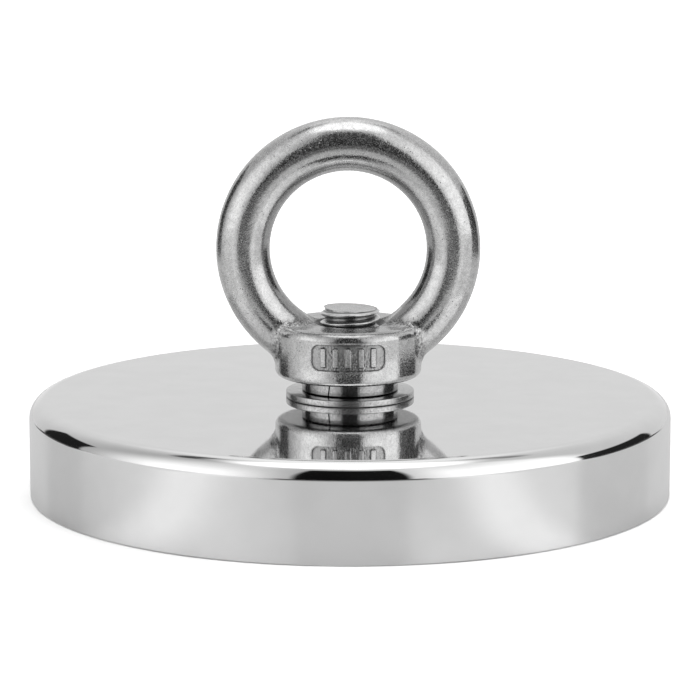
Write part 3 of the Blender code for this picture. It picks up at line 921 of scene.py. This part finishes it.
def build_resin(material):
    """Resin outside and inside the magnets and in the slits between them."""
    resin_top = RESIN_HIGH[2]
    outer = resin_ring("resin_outer", MAGNET_OUTER + RESIN_HAIR, CAVITY_RADIUS + 0.27, resin_top)
    dress(outer, "magnet_body", material, "potting_resin", "resin_outer_ring")
    inner = resin_ring("resin_inner", BUSH_RADIUS + RESIN_HAIR, MAGNET_INNER - RESIN_HAIR, resin_top)
    dress(inner, "magnet_body", material, "potting_resin", "resin_inner_ring")
    points, faces = [], []
    for number in range(MAGNET_COUNT):
        middle = (number + 0.5) * 2 * pi / MAGNET_COUNT
        radius = np.array([MAGNET_INNER, MAGNET_OUTER, MAGNET_OUTER, MAGNET_INNER])
        height = [RESIN_FACE, RESIN_FACE, resin_top, resin_top]
        half = MAGNET_GAP / 2 - RESIN_HAIR / radius
        slit, sides = sweep(np.stack([radius, height], 1), middle - half, middle + half, 2)
        faces += [tuple(corner + sum(len(p) for p in points) for corner in side) for side in sides]
        points.append(slit)
    mesh = face_outwards(make_mesh("resin_slits", np.concatenate(points), faces))
    slits = make_object("resin_slits", mesh)
    dress(slits, "magnet_body", material, "potting_resin")
    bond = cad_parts["resin_bond_layer"]
    bond.data.materials.clear()
    bond.data.materials.append(material)


def build_bush(material):
    """The turned bush, with chamfered rims and the cone that seats the screw's head."""
    bottom, top = BUSH_LOW[2], BUSH_HIGH[2]
    chamfer = 0.35
    seat = HEAD_RADIUS + 0.3 * sqrt(2)
    land = SCREW_BOTTOM + HEAD_LAND
    rows = [(SCREW_HOLE, top - chamfer), (SCREW_HOLE + chamfer, top), (BUSH_RADIUS - chamfer, top)]
    rows += [(BUSH_RADIUS, top - chamfer), (BUSH_RADIUS, bottom + chamfer), (BUSH_RADIUS - chamfer, bottom)]
    rows += [(r, bottom) for r in np.linspace(BUSH_RADIUS - chamfer - 0.1, seat + 0.25, 4)]
    rows += [(seat, bottom + 0.2), (seat, land), (SCREW_HOLE, land + seat - SCREW_HOLE)]
    mesh = make_mesh("bush_turned", *lathe(rows, 180, True))
    dress(make_object("bush_turned", mesh), "magnet_body", material, "bush_aluminium", "centre_bush")


# ---------------------------------------------------------------- studio


def studio_world():
    """The studio that the metal mirrors, in degrees of bearing and elevation.

    The bearing is 0 at the camera and positive to +X."""
    world = bpy.data.worlds.new("studio")
    bpy.context.scene.world = world
    world.use_nodes = True
    tree = world.node_tree
    tree.nodes.clear()
    direction = tree.nodes.new("ShaderNodeTexCoord").outputs["Generated"]
    x, y, z = axes(tree, direction)
    bearing = x.math("ARCTAN2", y * -1.0) * degrees(1.0)
    elevation = z.math("ARCSINE") * degrees(1.0)
    aside = bearing.math("ABSOLUTE")

    # walls, lighter towards the rear, and the sweep behind
    left_wall = aside.rise(105, 170, 0.45, 0.72)
    right_wall = aside.rise(105, 170, 0.6, 0.72)
    tone = left_wall.mixed(right_wall, bearing.rise(-5, 5))
    tone = tone.mixed(0.98, elevation.rise(30, 55) * aside.rise(145, 172))
    tone = tone.mixed(0.95, elevation.rise(-4, 12, 1.0, 0.0) * aside.rise(158, 174))
    slit_left = bearing.window(-147, -111, 4) * elevation.window(56.5, 62.5, 2.0)
    slit_right = bearing.window(117, 152, 6) * elevation.window(56.5, 62.5, 2.5)
    tone = tone * (slit_left * -0.85 + 1.0) * (slit_right * -0.6 + 1.0)

    # one big soft box on each side of the camera
    left = bearing.rise(-108, -66) * bearing.rise(-54, -14, 1.0, 0.0)
    right = bearing.rise(14, 44) * bearing.rise(80, 98, 1.0, 0.0)
    fade = elevation.rise(10, 62, 1.25, 0.72)
    fade_right = elevation.rise(20, 70, 1.3, 0.84)
    tone = tone * (left * -1.0 + 1.0) + left * fade
    tone = tone * (right * -1.0 + 1.0) + right * fade_right

    # overhead panel
    tone = tone.mixed(1.7, elevation.rise(63, 75))

    # black flags: the camera's surround in front, and one behind on each side
    front = bearing.window(-20, 21, 2.0) * elevation.window(-3.5, 58, 2.5)
    foot = bearing.window(-26, 27, 2.0) * elevation.window(-3.5, 1.5, 1.0)
    front = front.math("MAXIMUM", foot)
    left_flag = bearing.window(-137, -109, 1.5) * elevation.window(-9, 26, 1.5)
    right_flag = bearing.window(88, 132, 1.5) * elevation.window(-8, 18, 1.5)
    tone = tone * (front * -0.99 + 1.0) * (left_flag * -0.975 + 1.0) * (right_flag * -0.975 + 1.0)

    # below the floor's edge, a soft sweep that lights the underside
    tone = tone.mixed(0.75, elevation.rise(-30, -12, 1.0, 0.0))

    path = tree.nodes.new("ShaderNodeLightPath")
    camera = Wire(tree, path.outputs["Is Camera Ray"])
    light = new_node(tree, "ShaderNodeBackground", 0, Color=tone, Strength=1.0)
    white = new_node(tree, "ShaderNodeBackground", 0, Color=(1, 1, 1, 1), Strength=1.0)
    mix = tree.nodes.new("ShaderNodeMixShader")
    join(mix.inputs[0], camera)
    tree.links.new(light.socket, mix.inputs[1])
    tree.links.new(white.socket, mix.inputs[2])
    output = tree.nodes.new("ShaderNodeOutputWorld")
    tree.links.new(mix.outputs[0], output.inputs["Surface"])
    world.cycles.sampling_method = "MANUAL"
    world.cycles.sample_map_resolution = 2048


def build_floor():
    """A pale satin sheet, shaded by bearing and by distance from the middle as the studio shades it.

    It is clear from below, with a hole that the pot covers, so that the underside can be looked at."""
    hole = POT_RADIUS - 0.5
    rows = [(r, -CONTACT) for r in (hole, 70.0, 90.0, 150.0, 300.0, 700.0, 1500.0, 3000.0)]
    points, faces = lathe(rows, 96, False)
    floor = make_object("floor", make_mesh("floor", points, faces))
    material, tree, surface, place = new_material("floor_satin")
    tooth = grain(tree, place, 0.8, 2.0, 0.5)
    normal = bump(tree, tooth, 0.0005)
    x, y = axes(tree, place.socket)[:2]
    bearing = x.math("ARCTAN2", y * -1.0) * degrees(1.0)
    reach = (x * x + y * y).math("SQRT") / MM

    # dark far out where the studio's black flags shade it, in front and behind on each side
    front = bearing.window(-26, 26, 5) * reach.rise(130, 290)
    rear = bearing.window(-137, -104, 3) + bearing.window(86, 132, 3)
    rear = rear * reach.rise(210, 300)

    # pools of light and of shade between the flags and the soft boxes
    pools = bearing.window(-52, -36, 7) * 0.22 + bearing.window(31, 46, 6) * 0.21
    pools = pools + bearing.window(-14, 14, 8) * 0.1 - bearing.window(18, 28, 5) * 0.07
    pools = pools - bearing.window(56, 72, 6) * 0.05
    shade = (pools + 1.0) * (front * -0.82 + 1.0) * (rear * -0.88 + 1.0)

    # the camera sees it white, the metal sees its shades, and from below it is clear
    seen = new_node(tree, "ShaderNodeBsdfDiffuse", 0, Color=(1.6, 1.6, 1.6, 1.0))
    sheet = new_node(tree, "ShaderNodeBsdfDiffuse", 0, Color=shade * 0.64)
    gloss = new_node(tree, "ShaderNodeBsdfGlossy", 0, Color=shade * 0.24, Roughness=0.35, Normal=normal)
    clear = new_node(tree, "ShaderNodeBsdfTransparent", 0)
    path = tree.nodes.new("ShaderNodeLightPath")
    geometry = tree.nodes.new("ShaderNodeNewGeometry")
    both = tree.nodes.new("ShaderNodeAddShader")
    tree.links.new(sheet.socket, both.inputs[0])
    tree.links.new(gloss.socket, both.inputs[1])
    by_ray = tree.nodes.new("ShaderNodeMixShader")
    tree.links.new(path.outputs["Is Camera Ray"], by_ray.inputs[0])
    tree.links.new(both.outputs[0], by_ray.inputs[1])
    tree.links.new(seen.socket, by_ray.inputs[2])
    by_side = tree.nodes.new("ShaderNodeMixShader")
    tree.links.new(geometry.outputs["Backfacing"], by_side.inputs[0])
    tree.links.new(by_ray.outputs[0], by_side.inputs[1])
    tree.links.new(clear.socket, by_side.inputs[2])
    tree.links.new(by_side.outputs[0], surface)
    floor.data.materials.append(material)


CAMERA_DISTANCE = 630.1
CAMERA_ELEVATION = radians(10.416)
CAMERA_AIM_HEIGHT = 26.68
CAMERA_LENS = 173.13


def place_camera():
    """The camera, a long lens a little above the pot's top."""
    data = bpy.data.cameras.new("camera")
    data.sensor_width = 36.0
    data.lens = CAMERA_LENS
    data.clip_start = 0.01
    data.clip_end = 20.0
    camera = bpy.data.objects.new("camera", data)
    bpy.context.scene.collection.objects.link(camera)
    back = CAMERA_DISTANCE * cos(CAMERA_ELEVATION)
    up = CAMERA_DISTANCE * sin(CAMERA_ELEVATION)
    camera.location = (0.0, -back * MM, (CAMERA_AIM_HEIGHT + up) * MM)
    camera.rotation_euler = (pi / 2 - CAMERA_ELEVATION, 0.0, 0.0)
    bpy.context.scene.camera = camera
    bpy.context.scene.view_settings.view_transform = "Standard"


def main():
    """Build every piece and the studio round them."""
    build_pot(nickel_plate())
    build_screw(rolled_steel())
    build_plain_washer(washer_steel("washer_steel", WASHER_RADIUS, 0.7, 0.82, 1.0))
    # the spring washer's darker steel is painted shade, for its place under the nut
    build_lock_washer(washer_steel("spring_washer_steel_shaded", LOCK_RADIUS, 0.5, 0.62, 0.3))
    build_eye_nut(cast_stainless())
    build_magnets(magnet_nickel())
    build_resin(potting_resin())
    build_bush(turned_aluminium())
    studio_world()
    build_floor()
    place_camera()


main()
